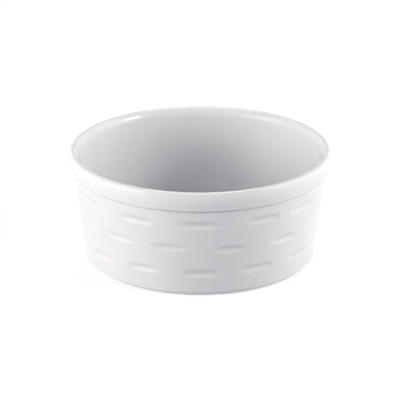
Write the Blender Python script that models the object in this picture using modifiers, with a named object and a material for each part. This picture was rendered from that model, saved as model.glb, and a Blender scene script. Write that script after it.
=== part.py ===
"""Souffle dish: one fired porcelain body with a banded rim, a leaning wall and rows of short pressed marks.

The dish stands on the XY plane on its foot ring, and Z is its axis. The front is towards -Y.
Lengths are in metres and angles in degrees.
"""

import math
import random

import bmesh
import bpy
from mathutils import Vector

# Overall sizes. The rim radius is the widest one, on the crown of the band.
RIM_RADIUS = 0.0900
HEIGHT = 0.0774

# The wall leans in towards the foot, inside and outside alike, and its thickness is measured level.
WALL_LEAN = 6.0
WALL_THICKNESS = 0.0038

# The band is a raised collar round the rim, with a crowned face: above its widest line the face leans in
# towards the lip, below it towards the foot, and one large rounding joins the two. The band stands out from
# the wall by a small step at its lower edge, and the lip is its rounded top.
BAND_HEIGHT = 0.0138
BAND_WIDEST_BELOW_RIM = 0.0047
BAND_UPPER_LEAN = 18.0
BAND_LOWER_LEAN = 13.0
BAND_CROWN_ROUND = 0.0105
BAND_STANDOUT = 0.0016
BAND_EDGE_ROUND = 0.0022
BAND_ROOT_ROUND = 0.0003
LIP_OUTER_ROUND = 0.0020
LIP_INNER_ROUND = 0.0034

# The floor of the dish, and the bowl's round corner between floor and wall.
FLOOR_THICKNESS = 0.0050
BOWL_CORNER_ROUND = 0.0090

# The foot is a flat ring that the dish stands on, round a shallow recess that clears the table.
FOOT_CORNER_ROUND = 0.0055
FOOT_FLAT_WIDTH = 0.0040
FOOT_RECESS_DEPTH = 0.0018
FOOT_EDGE_ROUND = 0.0006
FOOT_ROOT_ROUND = 0.0012
FOOT_INNER_SLOPE = 25.0

# The pressed marks: short level grooves in rows, each row turned by half a pitch from the one above.
MARK_ROWS = 3
MARKS_PER_ROW = 13
MARK_LENGTH = 0.0260
MARK_HEIGHT = 0.0058
MARK_DEPTH = 0.0010
FIRST_ROW_BELOW_BAND = 0.0100
LAST_ROW_ABOVE_FOOT = 0.0177

# The rod that presses a mark loses this many mark depths of its radius at its tips, with this power of the
# way along it.
TIP_CLEARANCE = 1.6
TIP_POWER = 4

# How far the hand-pressed marks drift from their even places, and the seed of each row's drift.
MARK_DRIFT_HEIGHT = 0.0015
MARK_DRIFT_ALONG = 0.0045
MARK_DRIFT_LENGTH = 0.0045
MARK_SEEDS = (1657526, 5930740, 4085084)

# Fineness: facets round the axis, the largest gap between an arc and its facets, the least cosine of half
# an arc's facet, which keeps tiny arcs round, and the sections along a mark and sides round it.
FACETS_ROUND = 104
ARC_GAP = 0.00007
COARSEST_FACET = 0.7
MARK_SECTIONS = 9
MARK_SIDES = 16

MERGE_DISTANCE = 0.00001
PORCELAIN_COLOUR = (0.86, 0.87, 0.87, 1.0)
PORCELAIN_ROUGHNESS = 0.12

BAND_FOOT = HEIGHT - BAND_HEIGHT
FLOOR_LEVEL = FOOT_RECESS_DEPTH + FLOOR_THICKNESS


def crown_corner():
    """Radius and height where the band's two faces would meet if its crown were left sharp.

    The crown's arc turns about a point at the height of the widest line. The corner lies on the line that
    halves the arc, at the arc's radius divided by the cosine of half its angle.
    """
    middle = math.radians(BAND_UPPER_LEAN - BAND_LOWER_LEAN) / 2
    distance = BAND_CROWN_ROUND / math.cos(math.radians(BAND_UPPER_LEAN + BAND_LOWER_LEAN) / 2)
    radius = RIM_RADIUS - BAND_CROWN_ROUND + distance * math.cos(middle)
    height = HEIGHT - BAND_WIDEST_BELOW_RIM + distance * math.sin(middle)
    return radius, height


def band_radius(height):
    """Radius of the band's face at a height, as if its crown were left sharp."""
    crown_radius, crown_height = crown_corner()
    lean = BAND_UPPER_LEAN if height > crown_height else BAND_LOWER_LEAN
    return crown_radius - math.tan(math.radians(lean)) * abs(height - crown_height)


def wall_radius(height):
    """Outer radius of the leaning wall at a height, one step inside the band's lower edge."""
    return band_radius(BAND_FOOT) - BAND_STANDOUT - math.tan(math.radians(WALL_LEAN)) * (BAND_FOOT - height)


def bowl_radius(height):
    """Inner radius of the bowl at a height, one wall thickness inside the outer wall."""
    return wall_radius(height) - WALL_THICKNESS


def empty_scene():
    """Remove what the scene holds."""
    for obj in list(bpy.context.scene.objects):
        bpy.data.objects.remove(obj, do_unlink=True)


def new_collection(name):
    """Add a collection to the scene."""
    collection = bpy.data.collections.new(name)
    bpy.context.scene.collection.children.link(collection)
    return collection


def porcelain():
    """Make the white glazed porcelain material."""
    material = bpy.data.materials.new("glazed_porcelain")
    material.use_nodes = True
    shader = material.node_tree.nodes["Principled BSDF"]
    shader.inputs["Base Color"].default_value = PORCELAIN_COLOUR
    shader.inputs["Roughness"].default_value = PORCELAIN_ROUGHNESS
    shader.inputs["Metallic"].default_value = 0.0
    return material


def arc(centre, start, end):
    """Points along the short arc from start to end, with facets no further than ARC_GAP inside it."""
    first = start - centre
    last = end - centre
    turn = first.angle(last)
    facets = math.ceil(turn / (2 * math.acos(max(1 - ARC_GAP / first.length, COARSEST_FACET))))
    points = []
    for i in range(facets + 1):
        share = i / facets
        swung = first * math.sin(turn * (1 - share)) + last * math.sin(turn * share)
        points.append(centre + swung / math.sin(turn))
    return points


def rounded(corners):
    """Round the corners of an open outline, each given as (radius, height, rounding).

    A rounding is kept as given unless its two arcs would meet on a short side, where both give way alike.
    """
    points = [Vector(corner[:2]) for corner in corners]
    turns = [0.0]
    reaches = [0.0]
    for i in range(1, len(points) - 1):
        turn = (points[i] - points[i - 1]).angle(points[i + 1] - points[i])
        turns.append(turn)
        reaches.append(corners[i][2] * math.tan(turn / 2))
    turns.append(0.0)
    reaches.append(0.0)
    shares = [1.0] * len(points)
    for i in range(len(points) - 1):
        wanted = reaches[i] + reaches[i + 1]
        side = (points[i + 1] - points[i]).length
        if wanted > side:
            shares[i] = min(shares[i], side / wanted)
            shares[i + 1] = min(shares[i + 1], side / wanted)
    outline = [points[0]]
    for i in range(1, len(points) - 1):
        reach = reaches[i] * shares[i]
        if reach < MERGE_DISTANCE:
            outline.append(points[i])
            continue
        back = (points[i - 1] - points[i]).normalized()
        onward = (points[i + 1] - points[i]).normalized()
        radius = reach / math.tan(turns[i] / 2)
        centre = points[i] + (back + onward).normalized() * math.hypot(reach, radius)
        outline += arc(centre, points[i] + back * reach, points[i] + onward * reach)
    outline.append(points[-1])
    return [p for p, q in zip(outline, outline[1:]) if (q - p).length > MERGE_DISTANCE] + [outline[-1]]


def dish_outline():
    """Half section of the dish, from the middle of the floor up over the lip and down to the underside."""
    crown_radius, crown_height = crown_corner()
    foot_outer = wall_radius(0.0) - FOOT_CORNER_ROUND * math.tan(math.radians(90 + WALL_LEAN) / 2)
    foot_inner = foot_outer - FOOT_FLAT_WIDTH
    recess_edge = foot_inner - FOOT_RECESS_DEPTH * math.tan(math.radians(FOOT_INNER_SLOPE))
    return rounded([
        (0.0, FLOOR_LEVEL, 0.0),
        (bowl_radius(FLOOR_LEVEL), FLOOR_LEVEL, BOWL_CORNER_ROUND),
        (bowl_radius(HEIGHT), HEIGHT, LIP_INNER_ROUND),
        (band_radius(HEIGHT), HEIGHT, LIP_OUTER_ROUND),
        (crown_radius, crown_height, BAND_CROWN_ROUND),
        (band_radius(BAND_FOOT), BAND_FOOT, BAND_EDGE_ROUND),
        (wall_radius(BAND_FOOT), BAND_FOOT, BAND_ROOT_ROUND),
        (wall_radius(0.0), 0.0, FOOT_CORNER_ROUND),
        (foot_inner, 0.0, FOOT_EDGE_ROUND),
        (recess_edge, FOOT_RECESS_DEPTH, FOOT_ROOT_ROUND),
        (0.0, FOOT_RECESS_DEPTH, 0.0),
    ])


def turned(name, outline, collection, material):
    """Turn a half section about Z with a Screw modifier."""
    mesh = bpy.data.meshes.new(name)
    edges = [(i, i + 1) for i in range(len(outline) - 1)]
    mesh.from_pydata([(p.x, 0.0, p.y) for p in outline], edges, [])
    obj = bpy.data.objects.new(name, mesh)
    collection.objects.link(obj)
    mesh.materials.append(material)
    screw = obj.modifiers.new("turn", "SCREW")
    screw.axis = "Z"
    screw.steps = FACETS_ROUND
    screw.render_steps = FACETS_ROUND
    screw.use_merge_vertices = True
    screw.merge_threshold = MERGE_DISTANCE
    screw.use_smooth_shade = True
    return obj


def mark_places():
    """Height, angle and length of every mark, with the small drift of marks pressed by hand."""
    top = BAND_FOOT - FIRST_ROW_BELOW_BAND
    fall = (top - LAST_ROW_ABOVE_FOOT) / max(MARK_ROWS - 1, 1)
    pitch = 2 * math.pi / MARKS_PER_ROW
    for row in range(MARK_ROWS):
        drift = random.Random(MARK_SEEDS[row % len(MARK_SEEDS)])
        for place in range(MARKS_PER_ROW):
            height = top - fall * row + drift.uniform(-1, 1) * MARK_DRIFT_HEIGHT
            along = drift.uniform(-1, 1) * MARK_DRIFT_ALONG
            angle = pitch * (place + row % 2 / 2) + along / wall_radius(height)
            length = MARK_LENGTH + drift.uniform(-1, 1) * MARK_DRIFT_LENGTH
            yield height, angle, length


def mark_cutters(collection):
    """Make the bodies that press the marks: one rod for each, bent to the wall and drawn in at its ends.

    The rod's round section has the radius that leaves a groove of the mark's height and depth, so most of
    it lies outside the wall. Its radius falls off with a power of the way along the rod, by more than the
    mark's depth at the tips, which rounds the ends of the mark and brings the tips clear of the wall.
    """
    rod_radius = (MARK_HEIGHT ** 2 / 4 + MARK_DEPTH ** 2) / (2 * MARK_DEPTH)
    standoff = rod_radius - MARK_DEPTH
    tip_loss = TIP_CLEARANCE * MARK_DEPTH / rod_radius
    reach = TIP_CLEARANCE ** (-1 / TIP_POWER)
    curve = bpy.data.curves.new("mark_rods", "CURVE")
    curve.dimensions = "3D"
    curve.twist_mode = "Z_UP"
    curve.bevel_depth = rod_radius
    curve.bevel_resolution = (MARK_SIDES - 4) // 2
    curve.use_fill_caps = True
    for height, angle, length in mark_places():
        radius = wall_radius(height) + standoff
        spread = length / 2 / reach / wall_radius(height)
        spline = curve.splines.new("POLY")
        spline.points.add(MARK_SECTIONS - 1)
        for i, point in enumerate(spline.points):
            along = math.sin(math.pi * (i / (MARK_SECTIONS - 1) - 0.5))
            turn = angle + spread * along
            point.co = (radius * math.sin(turn), -radius * math.cos(turn), height, 1.0)
            point.radius = 1.0 - tip_loss * abs(along) ** TIP_POWER
    rods = bpy.data.objects.new("mark_rods", curve)
    collection.objects.link(rods)
    bpy.context.view_layer.update()
    evaluated = rods.evaluated_get(bpy.context.evaluated_depsgraph_get())
    mesh = bpy.data.meshes.new_from_object(evaluated)
    shape = bmesh.new()
    shape.from_mesh(mesh)
    bmesh.ops.remove_doubles(shape, verts=shape.verts, dist=MERGE_DISTANCE)
    shape.to_mesh(mesh)
    shape.free()
    cutters = bpy.data.objects.new("mark_cutters", mesh)
    cutters.matrix_world = rods.matrix_world
    collection.objects.link(cutters)
    bpy.data.objects.remove(rods, do_unlink=True)
    cutters.hide_render = True
    cutters.display_type = "WIRE"
    return cutters


def main():
    empty_scene()
    parts = new_collection("souffle_dish")
    guides = new_collection("cutters")
    dish = turned("dish", dish_outline(), parts, porcelain())
    press = dish.modifiers.new("press_marks", "BOOLEAN")
    press.operation = "DIFFERENCE"
    press.solver = "EXACT"
    press.object = mark_cutters(guides)
    bpy.context.view_layer.update()
    built = dish.evaluated_get(bpy.context.evaluated_depsgraph_get()).to_mesh()
    triangles = sum(len(face.vertices) - 2 for face in built.polygons)
    print(f"dish: {MARK_ROWS * MARKS_PER_ROW} marks, {triangles} triangles")


main()
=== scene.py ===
# %% [markdown]
# # A porcelain souffle dish
# The dish is one piece of fired clay under a clear glaze. Its imported solid is already the right size, but
# its facets and its single colour are those of an engineering model. This lesson makes the surface that is
# seen: a fine turned shape with soft pressed marks, a glaze whose tone carries painted light and shade, and
# a bare foot.
# Everything is in metres with Z up, the dish stands on the XY plane, and its front faces -Y.
# %% Load the imported frame
import math
import random

import bpy
import numpy as np
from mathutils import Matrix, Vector


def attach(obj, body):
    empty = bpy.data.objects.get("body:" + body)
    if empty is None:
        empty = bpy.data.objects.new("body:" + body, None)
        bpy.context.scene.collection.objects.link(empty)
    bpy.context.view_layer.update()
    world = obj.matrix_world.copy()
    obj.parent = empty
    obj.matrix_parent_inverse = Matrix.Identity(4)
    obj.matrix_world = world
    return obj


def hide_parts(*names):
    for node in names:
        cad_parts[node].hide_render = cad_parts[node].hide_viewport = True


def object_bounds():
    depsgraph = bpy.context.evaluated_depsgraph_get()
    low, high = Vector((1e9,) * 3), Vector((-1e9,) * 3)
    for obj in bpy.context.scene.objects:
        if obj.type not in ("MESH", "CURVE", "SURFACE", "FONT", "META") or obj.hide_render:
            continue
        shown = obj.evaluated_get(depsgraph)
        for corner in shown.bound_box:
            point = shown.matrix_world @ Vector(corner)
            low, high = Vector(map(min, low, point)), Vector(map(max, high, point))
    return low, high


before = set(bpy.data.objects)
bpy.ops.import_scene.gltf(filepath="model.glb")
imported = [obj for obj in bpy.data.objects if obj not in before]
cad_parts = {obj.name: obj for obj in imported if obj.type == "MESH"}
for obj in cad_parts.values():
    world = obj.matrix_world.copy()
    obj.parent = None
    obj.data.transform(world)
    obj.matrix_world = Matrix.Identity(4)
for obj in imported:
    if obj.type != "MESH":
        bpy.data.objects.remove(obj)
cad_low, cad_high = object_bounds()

print("the packed solid reaches from", tuple(cad_low), "to", tuple(cad_high))

# %% [markdown]
# ## Sizes
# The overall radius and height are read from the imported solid, so the surface follows it. What the box
# can't tell, such as the lean of the wall or the roundness of the lip, is named here once.
# %% Name the sizes of the dish
RIM_RADIUS = cad_high.x
HEIGHT = cad_high.z
WALL_LEAN = math.radians(6.0)
WALL_THICKNESS = 0.0038

BAND_HEIGHT = 0.0138
BAND_WIDEST_BELOW_RIM = 0.0047
BAND_UPPER_LEAN = math.radians(18.0)
BAND_LOWER_LEAN = math.radians(13.0)
BAND_CROWN_ROUND = 0.0105
BAND_STANDOUT = 0.0016
BAND_EDGE_ROUND = 0.0022
BAND_ROOT_ROUND = 0.0003
LIP_OUTER_ROUND = 0.0020
LIP_INNER_ROUND = 0.0020
FLARE_LEAN = math.radians(35.0)
FLARE_HEIGHT = 0.0032
FLARE_ROUND = 0.0110

FLOOR_THICKNESS = 0.0050
BOWL_CORNER_ROUND = 0.0090
FOOT_CORNER_ROUND = 0.0055
FOOT_FLAT_WIDTH = 0.0040
FOOT_RECESS_DEPTH = 0.0018
FOOT_EDGE_ROUND = 0.0006
FOOT_ROOT_ROUND = 0.0012
FOOT_INNER_SLOPE = math.radians(25.0)

BAND_FOOT = HEIGHT - BAND_HEIGHT
FLOOR_LEVEL = FOOT_RECESS_DEPTH + FLOOR_THICKNESS
print(f"rim radius {RIM_RADIUS * 1000:.1f} mm, height {HEIGHT * 1000:.1f} mm")

# %% [markdown]
# ## The half section
# A potter's template has the same line: over the floor, up the inside, round the lip and down to the foot.
# Close under the rim, the inner wall flares outwards in a long soft curve. It is this curve that gives the
# lip its broad highlights, which a plain small rounding would squeeze into a thin line.
# The section could be drawn as a Bezier curve, but a lip has true roundings, so corners with a radius each
# say what is meant, and the points of an arc follow from a formula.
# %% Find the crown of the band
def crown_corner():
    """Radius and height where the band's two faces would meet if its crown were left sharp.

    The crown's arc turns about a point at the height of the widest line. The corner lies on the line that
    halves the arc, at the arc's radius divided by the cosine of half its angle.
    """
    middle = (BAND_UPPER_LEAN - BAND_LOWER_LEAN) / 2
    distance = BAND_CROWN_ROUND / math.cos((BAND_UPPER_LEAN + BAND_LOWER_LEAN) / 2)
    radius = RIM_RADIUS - BAND_CROWN_ROUND + distance * math.cos(middle)
    height = HEIGHT - BAND_WIDEST_BELOW_RIM + distance * math.sin(middle)
    return radius, height


crown_radius, crown_height = crown_corner()
print(f"the band's faces meet {(HEIGHT - crown_height) * 1000:.1f} mm below the rim")

# %% Radii of the band, the wall and the bowl
def band_radius(height):
    """The band's sharp face: the crown's radius less the lean's tangent times the distance from it."""
    lean = BAND_UPPER_LEAN if height > crown_height else BAND_LOWER_LEAN
    return crown_radius - math.tan(lean) * abs(height - crown_height)


def wall_radius(height):
    """The outer wall: a step inside the band's lower edge, less the lean's tangent times the drop."""
    return band_radius(BAND_FOOT) - BAND_STANDOUT - math.tan(WALL_LEAN) * (BAND_FOOT - height)


def bowl_radius(height):
    """The inner wall: one wall thickness inside the outer wall."""
    return wall_radius(height) - WALL_THICKNESS


flare_start = HEIGHT - FLARE_HEIGHT
lip_inner = bowl_radius(flare_start) + math.tan(FLARE_LEAN) * FLARE_HEIGHT
foot_outer = wall_radius(0.0) - FOOT_CORNER_ROUND * math.tan((math.pi / 2 + WALL_LEAN) / 2)
foot_inner = foot_outer - FOOT_FLAT_WIDTH
recess_edge = foot_inner - FOOT_RECESS_DEPTH * math.tan(FOOT_INNER_SLOPE)
print(f"the foot ring is flat from {foot_inner * 1000:.1f} to {foot_outer * 1000:.1f} mm")

# %% Round a corner and divide a straight side
ARC_STEP = math.radians(9.0)
ARC_SPACING = 0.0012


def unit(vector):
    """A vector divided by its length."""
    return vector / np.linalg.norm(vector)


def corner_arc(before, at, after, radius):
    """Points of the arc that touches both sides of a corner.

    Half the angle between the sides is t. The arc touches them at radius / tan t from the corner, and its
    centre lies radius / sin t away on the line between them. From the centre, the point at share s of the
    swing w is (first * sin((1 - s) * w) + last * sin(s * w)) / sin w.
    """
    if radius == 0:
        return at[None, :]
    back = unit(before - at)
    onward = unit(after - at)
    half = math.acos(back @ onward) / 2
    centre = at + unit(back + onward) * radius / math.sin(half)
    first = at + back * radius / math.tan(half) - centre
    last = at + onward * radius / math.tan(half) - centre
    swing = math.pi - 2 * half
    facets = math.ceil(max(swing / ARC_STEP, radius * swing / ARC_SPACING))
    share = np.linspace(0, 1, facets + 1)[:, None]
    return centre + (first * np.sin((1 - share) * swing) + last * np.sin(share * swing)) / math.sin(swing)


def side_points(start, end, spacing):
    """Points start + share * (end - start) between two ends, about one spacing apart, without the ends."""
    count = max(1, round(float(np.linalg.norm(end - start)) / spacing))
    share = np.linspace(0, 1, count + 1)[1:-1, None]
    return start + share * (end - start)


print(f"an arc has a point every {math.degrees(ARC_STEP):.0f} degrees or {ARC_SPACING * 1000:.1f} mm")

# %% Lay out the half section
FLAT_SPACING = 0.0120
BOWL_SPACING = 0.0045
BAND_SPACING = 0.0015
MARKED_SPACING = 0.0006
FOOT_SPACING = 0.0013
EDGE_SPACING = 0.0010


def half_section():
    """Radius and height along the dish's half section, from the middle of the floor to the underside.

    Each corner is (radius, height, rounding, spacing of the points on the side after it). The side with the
    pressed marks is the finest.
    """
    corners = [
        (0.0, FLOOR_LEVEL, 0.0, FLAT_SPACING),
        (bowl_radius(FLOOR_LEVEL), FLOOR_LEVEL, BOWL_CORNER_ROUND, BOWL_SPACING),
        (bowl_radius(flare_start), flare_start, FLARE_ROUND, EDGE_SPACING),
        (lip_inner, HEIGHT, LIP_INNER_ROUND, EDGE_SPACING),
        (band_radius(HEIGHT), HEIGHT, LIP_OUTER_ROUND, EDGE_SPACING),
        (crown_radius, crown_height, BAND_CROWN_ROUND, BAND_SPACING),
        (band_radius(BAND_FOOT), BAND_FOOT, BAND_EDGE_ROUND, EDGE_SPACING),
        (wall_radius(BAND_FOOT), BAND_FOOT, BAND_ROOT_ROUND, MARKED_SPACING),
        (wall_radius(0.0), 0.0, FOOT_CORNER_ROUND, FOOT_SPACING),
        (foot_inner, 0.0, FOOT_EDGE_ROUND, EDGE_SPACING),
        (recess_edge, FOOT_RECESS_DEPTH, FOOT_ROOT_ROUND, FLAT_SPACING),
        (0.0, FOOT_RECESS_DEPTH, 0.0, None),
    ]
    places = np.array([corner[:2] for corner in corners])
    arcs = [places[:1]]
    for i in range(1, len(corners) - 1):
        arcs.append(corner_arc(places[i - 1], places[i], places[i + 1], corners[i][2]))
    arcs.append(places[-1:])
    pieces = []
    for arc, following, corner in zip(arcs, arcs[1:], corners):
        pieces += [arc, side_points(arc[-1], following[0], corner[3])]
    return np.concatenate(pieces + [arcs[-1]])


section = half_section()
print("points along the half section:", len(section))

# %% [markdown]
# ## The pressed marks
# Three rows of short level dents run round the wall, each row turned by half a pitch from the one above.
# They were pressed by hand, so no two are quite alike: each drifts a little from its even place. The seeds
# of that drift were picked so that the front marks lie near those of the photograph.
# A mark could be cut out with a Boolean, but a cut leaves a sharp edge, and the glaze has softened these. So
# the wall is pushed in by a smooth function instead.
# %% Place the marks
MARK_ROWS = 3
MARKS_PER_ROW = 13
MARK_LENGTH = 0.0278
MARK_HEIGHT = 0.0066
MARK_DEPTH = 0.0010
FIRST_ROW_BELOW_BAND = 0.0100
LAST_ROW_ABOVE_FOOT = 0.0177
MARK_DRIFT_HEIGHT = 0.0015
MARK_DRIFT_ALONG = 0.0045
MARK_DRIFT_LENGTH = 0.0045
MARK_SEEDS = (1657526, 5930740, 4085084)


def mark_places():
    """Height, angle from the front and length of every mark, each drifting by seeded amounts."""
    top = BAND_FOOT - FIRST_ROW_BELOW_BAND
    fall = (top - LAST_ROW_ABOVE_FOOT) / (MARK_ROWS - 1)
    pitch = 2 * math.pi / MARKS_PER_ROW
    for row in range(MARK_ROWS):
        drift = random.Random(MARK_SEEDS[row])
        for place in range(MARKS_PER_ROW):
            height = top - fall * row + drift.uniform(-1, 1) * MARK_DRIFT_HEIGHT
            along = drift.uniform(-1, 1) * MARK_DRIFT_ALONG
            angle = pitch * (place + row % 2 / 2) + along / wall_radius(height)
            length = MARK_LENGTH + drift.uniform(-1, 1) * MARK_DRIFT_LENGTH
            yield height, angle, length


marks = list(mark_places())
print("marks:", len(marks))

# %% Work out how deep the wall is pressed
def pressed_depth(angle, height):
    """How much of a mark's full depth each point of the wall has, from 0 to 1.

    With h the distance above the mark's middle in half heights and s the distance along it in half lengths,
    a mark is (1 - h^2 - s^4)^2 inside the line where that bracket is 0. The square makes its edge soft.
    """
    depth = np.zeros(np.broadcast(angle, height).shape)
    for mark_height, mark_angle, length in marks:
        turned = (angle - mark_angle + math.pi) % (2 * math.pi) - math.pi
        s = turned * wall_radius(mark_height) / (length / 2)
        h = (height - mark_height) / math.cos(WALL_LEAN) / (MARK_HEIGHT / 2)
        depth = np.maximum(depth, np.clip(1 - h ** 2 - s ** 4, 0, 1) ** 2)
    return depth


print(f"a mark is up to {MARK_DEPTH * 1000:.1f} mm deep")

# %% [markdown]
# ## Turn the section
# Turning the section about Z gives a grid: one column for each angle and one row for each of its points.
# The two ends of the section lie on the axis, where a whole row would fall into one point. A single vertex
# and a fan of triangles close each of them. The columns stand about a millimetre apart, which is fine
# enough for the ends of the marks and keeps the dish under 200,000 triangles.
# %% Make the surface as a grid
COLUMNS = 460
ON_WALL = 0.000001


def turned_grid(section, columns):
    """Points (r sin a, -r cos a, z) for every angle a and section point (r, z), with the marks pressed in.

    On the outer wall, a point moves by the depth along the wall's inward normal, (-cos lean, sin lean).
    """
    angle = np.linspace(0, 2 * math.pi, columns, endpoint=False)[:, None]
    radius = np.broadcast_to(section[:, 0], (columns, len(section)))
    height = np.broadcast_to(section[:, 1], (columns, len(section)))
    on_wall = np.abs(section[:, 0] - wall_radius(section[:, 1])) < ON_WALL
    depth = pressed_depth(angle, height) * on_wall
    radius = radius - MARK_DEPTH * depth * math.cos(WALL_LEAN)
    height = height + MARK_DEPTH * depth * math.sin(WALL_LEAN)
    points = np.stack([radius * np.sin(angle), -radius * np.cos(angle), height], axis=-1)
    return points, depth


def grid_faces(columns, rows):
    """Quads between neighbouring columns and rows, the columns closing on themselves, facing outwards."""
    start = np.arange(columns)[:, None] * rows
    following = np.roll(start, -1, axis=0)
    row = np.arange(rows - 1)[None, :]
    corners = [start + row, start + row + 1, following + row + 1, following + row]
    return np.stack(np.broadcast_arrays(*corners), axis=-1).reshape(-1, 4)


def fan_faces(pole, ring, flip):
    """Triangles from one pole to a closed ring of vertices, turned over where flip is true."""
    following = np.roll(ring, -1)
    pair = (following, ring) if flip else (ring, following)
    return np.stack([np.full(len(ring), pole), *pair], axis=-1)


grid, mark_share = turned_grid(section[1:-1], COLUMNS)
rows = grid.shape[1]
poles = np.array([[0, 0, section[0, 1]], [0, 0, section[-1, 1]]])
points = np.concatenate([grid.reshape(-1, 3), poles])
first_ring = np.arange(COLUMNS) * rows
quads = grid_faces(COLUMNS, rows)
floor_fan = fan_faces(len(points) - 2, first_ring, False)
underside_fan = fan_faces(len(points) - 1, first_ring + rows - 1, True)
print("triangles:", 2 * len(quads) + len(floor_fan) + len(underside_fan))

# %% Put the arrays into a mesh
def add_object(name, data):
    """Put a mesh, a lamp or a camera into the scene as an object."""
    made = bpy.data.objects.new(name, data)
    bpy.context.scene.collection.objects.link(made)
    return made


mesh = bpy.data.meshes.new("porcelain_dish")
mesh.from_pydata(points.tolist(), [], quads.tolist() + floor_fan.tolist() + underside_fan.tolist())
mesh.polygons.foreach_set("use_smooth", np.ones(len(mesh.polygons), dtype=bool))
mesh.update()
dish = add_object("porcelain_dish", mesh)
print("faces:", len(mesh.polygons), "smooth")

# %% [markdown]
# ## Painted light and shade in the glaze's tone
# The glaze's tone carries painted light and shade. The turn of the section sets part of it: where the
# section bends outwards the colour is whiter, a painted highlight on the edges, and where it bends inwards
# it is greyer, painted shade. The band's face gets a painted highlight that grows towards the rim. Painted
# shade fills the sharp corner under the band, lies in the marks and grows towards the bowl's floor. The sum
# of these is kept on the mesh as an attribute, so that the material can read it.
# %% Work out the painted light and shade
FULL_BEND = 1 / LIP_OUTER_ROUND
CORNER_PAINTED_SHADE = 2.0
CORNER_SHADE_REACH = 0.0010
OFF_WALL = 0.0001
BAND_PAINTED_HIGHLIGHT = (0.25, 0.65)
MARK_PAINTED_SHADE = 0.32
BOWL_PAINTED_SHADE = 0.15
PAINTED_HIGHLIGHT_LIMIT = -1
PAINTED_SHADE_LIMIT = 2


def section_bend(section):
    """Signed curvature at each inner section point: the turn between its sides over their mean length."""
    sides = np.diff(section, axis=0)
    heading = np.unwrap(np.arctan2(sides[:, 1], sides[:, 0]))
    length = np.linalg.norm(sides, axis=1)
    return np.diff(heading) / ((length[1:] + length[:-1]) / 2)


def painted_band_highlight(section):
    """Painted highlight on the band's face: whiter in even steps from the first share at its foot to the
    last at the rim.
    """
    radius, height = section[:, 0], section[:, 1]
    on_band = (radius > wall_radius(height) + OFF_WALL) & (height > BAND_FOOT)
    rise = (height - BAND_FOOT) / BAND_HEIGHT
    return on_band * (BAND_PAINTED_HIGHLIGHT[0] + (BAND_PAINTED_HIGHLIGHT[1] - BAND_PAINTED_HIGHLIGHT[0]) * rise)


def painted_hollow_shade(section):
    """Painted shade in the corner under the band and in the bowl.

    The corner's share is e to the power of -(d / reach)^2 at a distance d from it. The bowl's grows evenly
    with the depth below the rim.
    """
    radius, height = section[:, 0], section[:, 1]
    distance = np.hypot(radius - wall_radius(BAND_FOOT), height - BAND_FOOT)
    in_bowl = (radius < wall_radius(height) - WALL_THICKNESS / 2) & (height > FOOT_RECESS_DEPTH)
    depth = (HEIGHT - height) / HEIGHT
    return CORNER_PAINTED_SHADE * np.exp(-(distance / CORNER_SHADE_REACH) ** 2) + in_bowl * BOWL_PAINTED_SHADE * depth


# The painted shade in the corner under the band fades over this distance
print(f"the corner's pool fades over {CORNER_SHADE_REACH * 1000:.1f} mm")

# %% Store the painted light and shade as an attribute
inner_section = section[1:-1]
bend = np.clip(section_bend(section) / FULL_BEND, -1, 1)
level = bend + painted_hollow_shade(inner_section) - painted_band_highlight(inner_section)
# Painted shade in the marks grows with how far each point is pressed in
painted_levels = np.clip(level[None, :] + MARK_PAINTED_SHADE * mark_share, PAINTED_HIGHLIGHT_LIMIT, PAINTED_SHADE_LIMIT)
values = np.concatenate([painted_levels.ravel(), np.zeros(len(poles))])
attribute = mesh.attributes.new("painted_shade_and_highlight", "FLOAT", "POINT")
attribute.data.foreach_set("value", values.astype(np.float32))
# Low values are painted highlight and high values painted shade
print(f"gathering from {values.min():.2f} (thin) to {values.max():.2f} (thick)")

# %% [markdown]
# ## Writing shader maths as expressions
# A material's sums are easier to read as a line of algebra than as a web of nodes. A small class wraps a
# socket, so that + - * / each add one Math node, also with a plain number on the left.
# %% Wrap sockets so that operators add nodes
class Value:
    """An output socket that arithmetic works on."""

    def __init__(self, paint, socket):
        self.paint = paint
        self.socket = socket

    def maths(self, operation, first, second):
        """The result of one Math node."""
        return self.paint.node("ShaderNodeMath", {"operation": operation}, {0: first, 1: second})[0]

    def __add__(self, other):
        return self.maths("ADD", self, other)

    def __radd__(self, other):
        return self.maths("ADD", other, self)

    def __sub__(self, other):
        return self.maths("SUBTRACT", self, other)

    def __rsub__(self, other):
        return self.maths("SUBTRACT", other, self)

    def __mul__(self, other):
        return self.maths("MULTIPLY", self, other)

    def __rmul__(self, other):
        return self.maths("MULTIPLY", other, self)

    def __truediv__(self, other):
        return self.maths("DIVIDE", self, other)

    def clamped(self):
        """The value held between 0 and 1."""
        return self.maths("MAXIMUM", self.maths("MINIMUM", self, 1.0), 0.0)


class Outputs:
    """A node's outputs, each wrapped as a Value and asked for by name or number."""

    def __init__(self, paint, node):
        self.paint = paint
        self.node = node

    def __getitem__(self, key):
        return Value(self.paint, self.node.outputs[key])


class Paint:
    """Adds nodes to one node tree."""

    def __init__(self, tree):
        self.tree = tree
        self.tree.nodes.clear()

    def feed(self, socket, value):
        """Link a Value to an input socket, or write a plain value into it."""
        if isinstance(value, Value):
            self.tree.links.new(value.socket, socket)
        else:
            socket.default_value = value

    def node(self, kind, settings=None, sockets=None):
        """Add a node of a kind, apply its settings, then give its sockets their values or links."""
        made = self.tree.nodes.new(kind)
        for name, setting in (settings or {}).items():
            setattr(made, name, setting)
        for key, value in (sockets or {}).items():
            self.feed(made.inputs[key], value)
        return Outputs(self, made)

    def blend(self, share, first, second):
        """Mix two colours: the first where share is 0 and the second where it is 1."""
        made = self.node("ShaderNodeMix", {"data_type": "RGBA"}).node
        inputs = {socket.identifier: socket for socket in made.inputs}
        for name, value in (("Factor_Float", share), ("A_Color", first), ("B_Color", second)):
            self.feed(inputs[name], value)
        outputs = {socket.identifier: socket for socket in made.outputs}
        return Value(self, outputs["Result_Color"])


print("shader maths ready")
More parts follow.
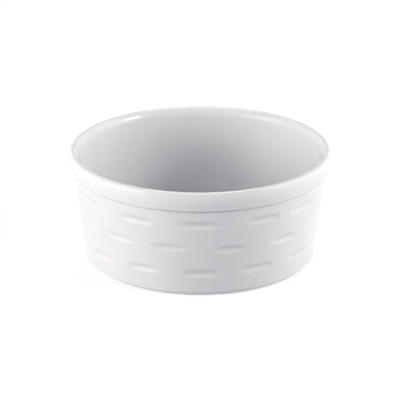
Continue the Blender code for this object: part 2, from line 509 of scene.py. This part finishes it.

# %% [markdown]
# ## Glazed porcelain
# The body is a very white, very slightly cool clay, and the glaze over it is clear glass. Glass makes sharp
# reflections, so the roughness is low, and it isn't quite even: the kiln leaves slow waves a few
# millimetres wide. The glaze's colour also carries painted light and shade: it greys where shade is painted,
# most of all in the line under the band, and it shows the body whiter where a highlight is painted. A slow
# random drift of the glaze's tone keeps the large plain surfaces from looking dead. The foot ring is wiped
# bare before firing, or the dish would stick to the kiln shelf.
# %% Make the porcelain material
# The white shows where a highlight is painted and the grey glaze where shade is painted; a random drift
# mixes them too
BODY_WHITE = (0.86, 0.863, 0.866, 1.0)
GREY_GLAZE_AND_PAINTED_SHADE = (0.60, 0.615, 0.63, 1.0)
BISCUIT = (0.78, 0.755, 0.71, 1.0)

GLAZE_LEVEL = 0.20
PAINTED_LIGHT_WEIGHT = 0.37
DRIFT_WEIGHT = 0.15

GLAZE_IOR = 1.5
GLAZE_ROUGHNESS = 0.09
GLAZE_ROUGHNESS_SWING = 0.03
BISCUIT_ROUGHNESS = 0.62
WAVE_RELIEF = 0.000012
GRAIN_RELIEF = 0.00002

GLAZE_LINE_HEIGHT = 0.00045
GLAZE_LINE_WANDER = 0.0003
GLAZE_LINE_SOFTNESS = 0.00012

NOISE_MEAN = 0.5
WAVES_PER_METRE = 130.0
WAVES_DETAIL = 1.0
DRIFTS_PER_METRE = 22.0
DRIFTS_DETAIL = 2.0
GRAIN_PER_METRE = 2600.0
GRAIN_DETAIL = 3.0


def noise(paint, place, per_metre, detail):
    """Noise between 0 and 1, with so many swells to the metre and so many finer octaves laid over them."""
    sockets = {"Vector": place, "Scale": per_metre, "Detail": detail}
    return paint.node("ShaderNodeTexNoise", None, sockets)[0]


def glazed_porcelain():
    """White porcelain under a clear glaze, bare on the foot ring."""
    material = bpy.data.materials.new("glazed_porcelain")
    material.use_nodes = True
    paint = Paint(material.node_tree)
    place = paint.node("ShaderNodeTexCoord")["Object"]
    height = paint.node("ShaderNodeSeparateXYZ", None, {"Vector": place})["Z"]
    waves = noise(paint, place, WAVES_PER_METRE, WAVES_DETAIL)
    drifts = noise(paint, place, DRIFTS_PER_METRE, DRIFTS_DETAIL)
    grain = noise(paint, place, GRAIN_PER_METRE, GRAIN_DETAIL)
    painted_light = paint.node("ShaderNodeAttribute", {"attribute_name": "painted_shade_and_highlight"})["Fac"]

    # Painted light and shade from the attribute, plus a random drift of tone, set how far the glaze greys
    tone_and_painted_shade = (painted_light * PAINTED_LIGHT_WEIGHT + (drifts - NOISE_MEAN) * DRIFT_WEIGHT + GLAZE_LEVEL).clamped()
    line = GLAZE_LINE_HEIGHT + (drifts - NOISE_MEAN) * GLAZE_LINE_WANDER
    bare = ((line - height) / GLAZE_LINE_SOFTNESS + 0.5).clamped()

    glazed = paint.blend(tone_and_painted_shade, BODY_WHITE, GREY_GLAZE_AND_PAINTED_SHADE)
    colour = paint.blend(bare, glazed, BISCUIT)
    gloss = GLAZE_ROUGHNESS + (waves - NOISE_MEAN) * GLAZE_ROUGHNESS_SWING
    roughness = gloss * (1 - bare) + BISCUIT_ROUGHNESS * bare
    # The bump's strength and distance are 1, so the relief's height is in metres
    relief = waves * WAVE_RELIEF * (1 - bare) + grain * GRAIN_RELIEF * bare
    bump = paint.node("ShaderNodeBump", None, {"Strength": 1.0, "Distance": 1.0, "Height": relief})["Normal"]
    shader = paint.node("ShaderNodeBsdfPrincipled", None, {
        "Base Color": colour,
        "Roughness": roughness,
        "Metallic": 0.0,
        "IOR": GLAZE_IOR,
        "Normal": bump,
    })["BSDF"]
    paint.node("ShaderNodeOutputMaterial", None, {"Surface": shader})
    return material


mesh.materials.append(glazed_porcelain())
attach(dish, "root")
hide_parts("dish")
print("material:", mesh.materials[0].name)

# %% [markdown]
# ## Floor and surroundings
# The dish stands on a pale floor in a white surround. Both look white to the camera and in reflections by
# the Light Path node, while light that bounces off them stays modest, so that the dish keeps a light and a
# dark side. The floor's own colour is a cool grey, which the shaded front of the dish picks up. The floor
# adds its white to a plain diffuse shader. The sum passes white only just, so what the dish shades stays
# visible as a faint shadow.
# %% Make the floor and the surround
FLOOR_HALF = 3.0
FLOOR_COLOUR = (0.46, 0.48, 0.52, 1.0)
FLOOR_LIFT = 0.67
SURROUND_COLOUR = (1.0, 1.0, 1.0, 1.0)
SURROUND_LIGHT = 0.08


def seen_directly(paint):
    """1 for camera, glossy and transmission rays, and 0 for the rest."""
    ray = paint.node("ShaderNodeLightPath")
    return (ray["Is Camera Ray"] + ray["Is Glossy Ray"] + ray["Is Transmission Ray"]).clamped()


def pale_floor():
    """Diffuse cool grey with white added for rays that see it directly."""
    material = bpy.data.materials.new("pale_floor")
    material.use_nodes = True
    paint = Paint(material.node_tree)
    matt = paint.node("ShaderNodeBsdfDiffuse", None, {"Color": FLOOR_COLOUR})["BSDF"]
    strength = seen_directly(paint) * FLOOR_LIFT
    lift = paint.node("ShaderNodeEmission", None, {"Strength": strength})["Emission"]
    both = paint.node("ShaderNodeAddShader", None, {0: matt, 1: lift})[0]
    paint.node("ShaderNodeOutputMaterial", None, {"Surface": both})
    return material


def white_surround():
    """A world that rays see directly as plain white, and that lights the dish with a small share of it."""
    world = bpy.data.worlds.new("surround")
    world.use_nodes = True
    paint = Paint(world.node_tree)
    strength = SURROUND_LIGHT + seen_directly(paint) * (1.0 - SURROUND_LIGHT)
    sockets = {"Color": SURROUND_COLOUR, "Strength": strength}
    background = paint.node("ShaderNodeBackground", None, sockets)["Background"]
    paint.node("ShaderNodeOutputWorld", None, {"Surface": background})
    return world


floor_mesh = bpy.data.meshes.new("floor")
floor_corners = [(x * FLOOR_HALF, y * FLOOR_HALF, 0.0) for x, y in ((-1, -1), (1, -1), (1, 1), (-1, 1))]
floor_mesh.from_pydata(floor_corners, [], [(0, 1, 2, 3)])
floor_mesh.materials.append(pale_floor())
floor = add_object("floor", floor_mesh)
bpy.context.scene.world = white_surround()
print("floor and surround ready")

# %% [markdown]
# ## Softboxes
# White ware on white needs lamps from the sides and from behind: light along the wall models the marks, and
# a dimmer front keeps the near side from flattening. Two large boxes hang low at the left and the right, and
# a weak cool one fills the front and the bowl. A box high behind the dish draws the line of light along the
# near edge, and a slim bright one at the right is there for the glint on the far lip. It hangs above the
# height at which the pressed marks would mirror it too.
# A glazed wall mirrors a lamp as a hard patch. The real boxes were softer than that, so the two large ones
# and the front one are made of two panels each, and reflections miss the panel behind. In the large ones
# the panel behind is the stronger.
# %% Hang the lamps
LAMP_AIM = Vector((0.0, 0.0, HEIGHT / 2))
LAMP_DISTANCE = 1.6
PANEL_GAP = 0.02


def panel(name, out, distance, width, height, power, colour):
    """A lit rectangle at a distance in the direction out from the dish, facing it."""
    lamp = bpy.data.lights.new(name, "AREA")
    lamp.shape = "RECTANGLE"
    lamp.size = width
    lamp.size_y = height
    lamp.energy = power
    lamp.color = colour
    holder = add_object(name, lamp)
    holder.location = LAMP_AIM + out * distance
    holder.rotation_mode = "QUATERNION"
    holder.rotation_quaternion = out.to_track_quat("Z", "Y")
    holder.visible_camera = False
    return holder


def softbox(name, azimuth, elevation, width, height, power, shine, colour):
    """A panel with the share "shine" of the power, and one with the rest behind it that reflections miss.

    Azimuth is measured from the front towards the right, and both angles are in degrees.
    """
    turn = math.radians(azimuth)
    rise = math.radians(elevation)
    out = Vector((math.sin(turn) * math.cos(rise), -math.cos(turn) * math.cos(rise), math.sin(rise)))
    panel(name, out, LAMP_DISTANCE, width, height, power * shine, colour)
    if shine < 1:
        behind = LAMP_DISTANCE + PANEL_GAP
        fill = panel(name + "_fill", out, behind, width, height, power * (1 - shine), colour)
        fill.visible_glossy = False


# Name, azimuth, elevation, width, height, power, shine and colour
softbox("left_softbox", -65, 13, 1.2, 0.9, 27.0, 0.33, (1.0, 0.93, 0.89))
softbox("right_softbox", 88, 14, 1.3, 0.9, 20.3, 0.3, (1.0, 0.965, 0.94))
softbox("front_softbox", -21, 36, 0.7, 0.5, 2.1, 0.8, (0.5, 0.66, 1.0))
softbox("right_strip_box", 70, 23, 0.55, 0.22, 5.5, 1.0, (1.0, 0.97, 0.95))
softbox("back_softbox", 180, 62, 0.6, 0.6, 7.4, 1.0, (1.0, 1.0, 1.0))

# %% [markdown]
# ## Camera
# The camera that fits the dish's outline in the photograph stands 1.5 m away, a little above the dish, with
# a long lens. The focal length is the one that gives the dish the width in pixels that it has there.
# %% Place the camera
CAMERA_DISTANCE = 1.5
CAMERA_ELEVATION = math.radians(19.86)
CAMERA_LENS = 196.1
SENSOR_WIDTH = 36.0
NEAREST_SEEN = 0.01
FARTHEST_SEEN = 20.0
AIM_LEFT = 0.0002
AIM_BELOW_RIM = 0.0390

camera_data = bpy.data.cameras.new("camera")
camera_data.sensor_width = SENSOR_WIDTH
camera_data.lens = CAMERA_LENS
camera_data.clip_start = NEAREST_SEEN
camera_data.clip_end = FARTHEST_SEEN
camera = add_object("camera", camera_data)
camera.location = (
    0.0,
    -CAMERA_DISTANCE * math.cos(CAMERA_ELEVATION),
    HEIGHT + CAMERA_DISTANCE * math.sin(CAMERA_ELEVATION),
)
aim = Vector((-AIM_LEFT, 0.0, HEIGHT - AIM_BELOW_RIM))
camera.rotation_mode = "QUATERNION"
camera.rotation_quaternion = (aim - camera.location).to_track_quat("-Z", "Y")
bpy.context.scene.camera = camera
bpy.context.scene.view_settings.view_transform = "Standard"
print("camera at", tuple(round(c, 3) for c in camera.location))
